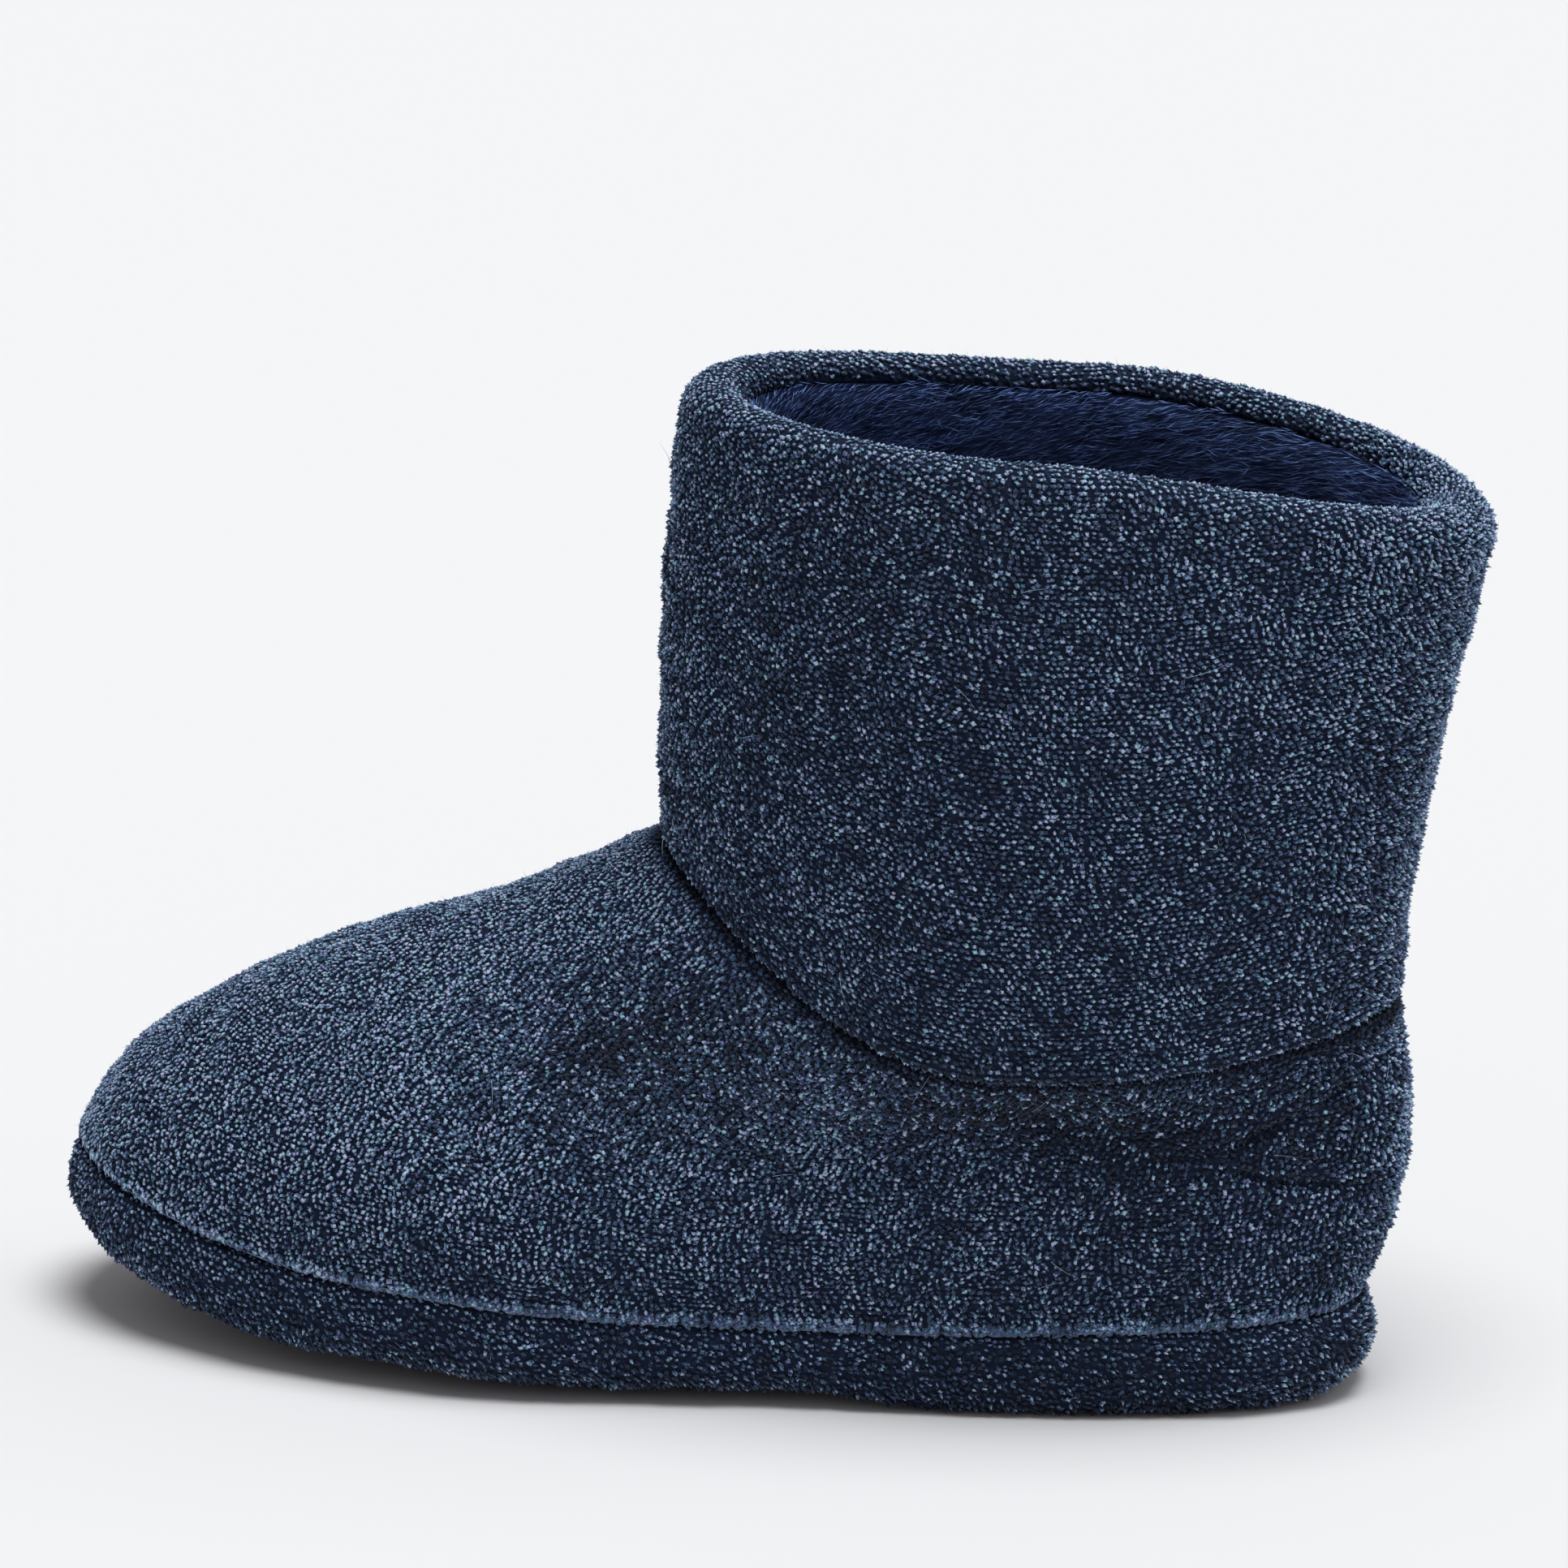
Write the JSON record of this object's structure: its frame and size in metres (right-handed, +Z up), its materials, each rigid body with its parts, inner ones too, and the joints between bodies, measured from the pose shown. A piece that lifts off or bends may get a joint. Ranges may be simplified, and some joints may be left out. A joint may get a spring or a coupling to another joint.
{
  "type": "bootie slipper",
  "caption": "Ankle-high house slipper in plush navy knit, with a soft padded sole, a rolled collar and a short-pile lining.",
  "frame": {"origin": "on the floor under the middle of the heel, on the sole's flat spot", "axes": "+X towards the toe, +Y to the wearer's left, which is the outer side of this left slipper, +Z up"},
  "size_m": [0.312, 0.1023, 0.216],
  "materials": {
    "plush_knit": "matt heathered plush",
    "sole_cloth": "matt",
    "fleece": "matt short pile"
  },
  "bodies": {
    "root": {"outsole": "sole_cloth", "sole_band": "plush_knit", "insole": "fleece", "upper": "plush_knit", "shaft": "plush_knit"}
  },
  "joints": []
}
